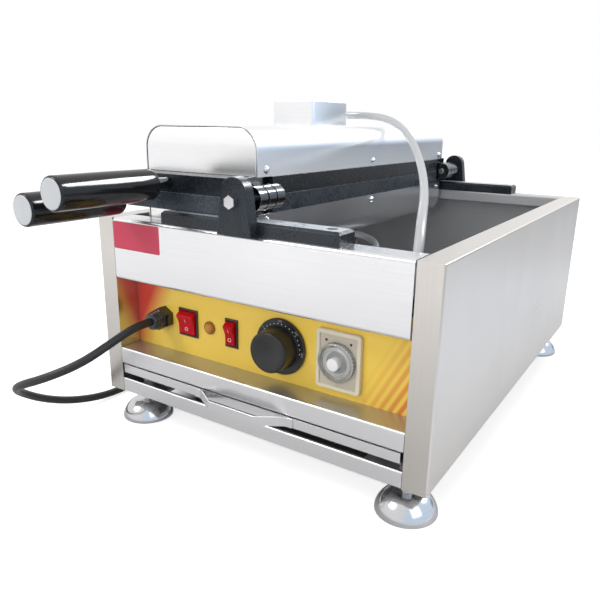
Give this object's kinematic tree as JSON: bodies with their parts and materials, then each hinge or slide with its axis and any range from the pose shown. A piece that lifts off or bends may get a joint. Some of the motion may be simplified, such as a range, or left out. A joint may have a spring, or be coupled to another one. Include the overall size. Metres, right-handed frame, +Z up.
{
  "type": "waffle cone maker",
  "caption": "Book-type double-plate waffle cone baker: black cast plates hinged over a stainless tub with crumb tray, yellow control panel, timer and thermostat",
  "frame": {"origin": "on the table, under the middle of the object's box, cord left out", "axes": "+Z up, +X to the right seen from the controls, +Y from the controls to the back"},
  "size_m": [0.5575, 0.6926, 0.3642],
  "materials": {
    "casing_steel": "brushed stainless sheet",
    "panel_yellow": "printed yellow face, satin",
    "foot_steel": "turned steel",
    "fastener_zinc": "zinc-plated steel",
    "black_iron": "black coated casting",
    "heater_steel": "sheathed heating element",
    "grip_black": "black heat-proof plastic",
    "cap_grey": "grey plastic",
    "conduit_grey": "light grey sleeve",
    "switch_black": "black plastic",
    "rocker_red": "red translucent plastic",
    "lamp_amber": "amber lens",
    "knob_black": "black moulded knob",
    "timer_cream": "cream plastic",
    "timer_grey": "grey face plate",
    "timer_clear": "clear plastic dial",
    "timer_white": "white plastic",
    "cord_black": "black cord sheath",
    "tie_black": "plastic strap",
    "pin_brass": "bare brass"
  },
  "bodies": {
    "base": {"side_panel_right": "casing_steel", "side_panel_left": "casing_steel", "front_plate": "casing_steel", "front_strip": "casing_steel", "bottom_rail": "casing_steel", "rear_panel": "casing_steel", "control_panel": "panel_yellow", "control_box": "casing_steel", "tray_runners": "casing_steel", "feet": "foot_steel", "foot_plates": "fastener_zinc", "foot_nuts": "fastener_zinc", "rest_bars": "black_iron", "bar_screws": "fastener_zinc", "hinge_brackets": "black_iron", "hinge_pins": "fastener_zinc", "upper_conduit": "conduit_grey", "lower_conduit": "conduit_grey", "conduit_glands": "fastener_zinc", "wide_switch_case": "switch_black", "narrow_switch_case": "switch_black", "heat_lamp": "lamp_amber", "thermostat_body": "switch_black", "timer_case": "timer_cream", "timer_face": "timer_grey", "cord_gland": "switch_black", "gland_locknut": "switch_black", "power_cord": "cord_black", "cord_coil": "cord_black", "cord_tie": "tie_black", "plug": "cord_black", "plug_pins": "pin_brass"},
    "lower_mould": {"lower_plate": "black_iron", "lower_hinge_leaves": "black_iron", "lower_cover": "casing_steel", "lower_cover_screws": "fastener_zinc", "lower_junction_box": "casing_steel", "lower_ferrule": "fastener_zinc", "lower_heater": "heater_steel", "lower_handle_rod": "fastener_zinc", "lower_grip": "grip_black", "lower_grip_cap": "cap_grey"},
    "upper_mould": {"upper_plate": "black_iron", "upper_hinge_leaves": "black_iron", "upper_cover": "casing_steel", "upper_cover_screws": "fastener_zinc", "upper_junction_box": "casing_steel", "upper_ferrule": "fastener_zinc", "upper_heater": "heater_steel", "upper_handle_rod": "fastener_zinc", "upper_grip": "grip_black", "upper_grip_cap": "cap_grey"},
    "tray": {"crumb_tray": "casing_steel", "tray_pull": "casing_steel"},
    "wide_rocker_body": {"wide_rocker": "rocker_red"},
    "narrow_rocker_body": {"narrow_rocker": "rocker_red"},
    "thermostat_dial": {"thermostat_knob": "knob_black", "thermostat_shaft": "fastener_zinc"},
    "timer_turn": {"timer_dial": "timer_clear", "timer_hub": "timer_white"}
  },
  "joints": [
    {"name": "mould_flip", "type": "hinge", "parent": "base", "child": "lower_mould", "pos_m": [0, 0, 0.2695], "axis": [0, 1, 0], "range_deg": [0, 180], "deforming": ["upper_conduit", "lower_conduit"]},
    {"name": "mould_open", "type": "hinge", "parent": "lower_mould", "child": "upper_mould", "pos_m": [0, 0, 0.2695], "axis": [0, 1, 0], "range_deg": [0, 180], "deforming": ["upper_conduit"]},
    {"name": "tray_slide", "type": "slide", "parent": "base", "child": "tray", "axis": [0, -1, 0], "range_m": [0, 0.44]},
    {"name": "wide_rocker_tilt", "type": "hinge", "parent": "base", "child": "wide_rocker_body", "pos_m": [-0.095, -0.1937, 0.1285], "axis": [-1, 0, 0], "range_deg": [0, 24]},
    {"name": "narrow_rocker_tilt", "type": "hinge", "parent": "base", "child": "narrow_rocker_body", "pos_m": [-0.035, -0.1937, 0.1285], "axis": [-1, 0, 0], "range_deg": [0, 24]},
    {"name": "thermostat_turn", "type": "hinge", "parent": "base", "child": "thermostat_dial", "pos_m": [0.0275, -0.1957, 0.1285], "axis": [0, 1, 0], "range_deg": [0, 280]},
    {"name": "timer_set", "type": "hinge", "parent": "base", "child": "timer_turn", "pos_m": [0.093, -0.1957, 0.1285], "axis": [0, 1, 0], "range_deg": [0, 270]}
  ]
}
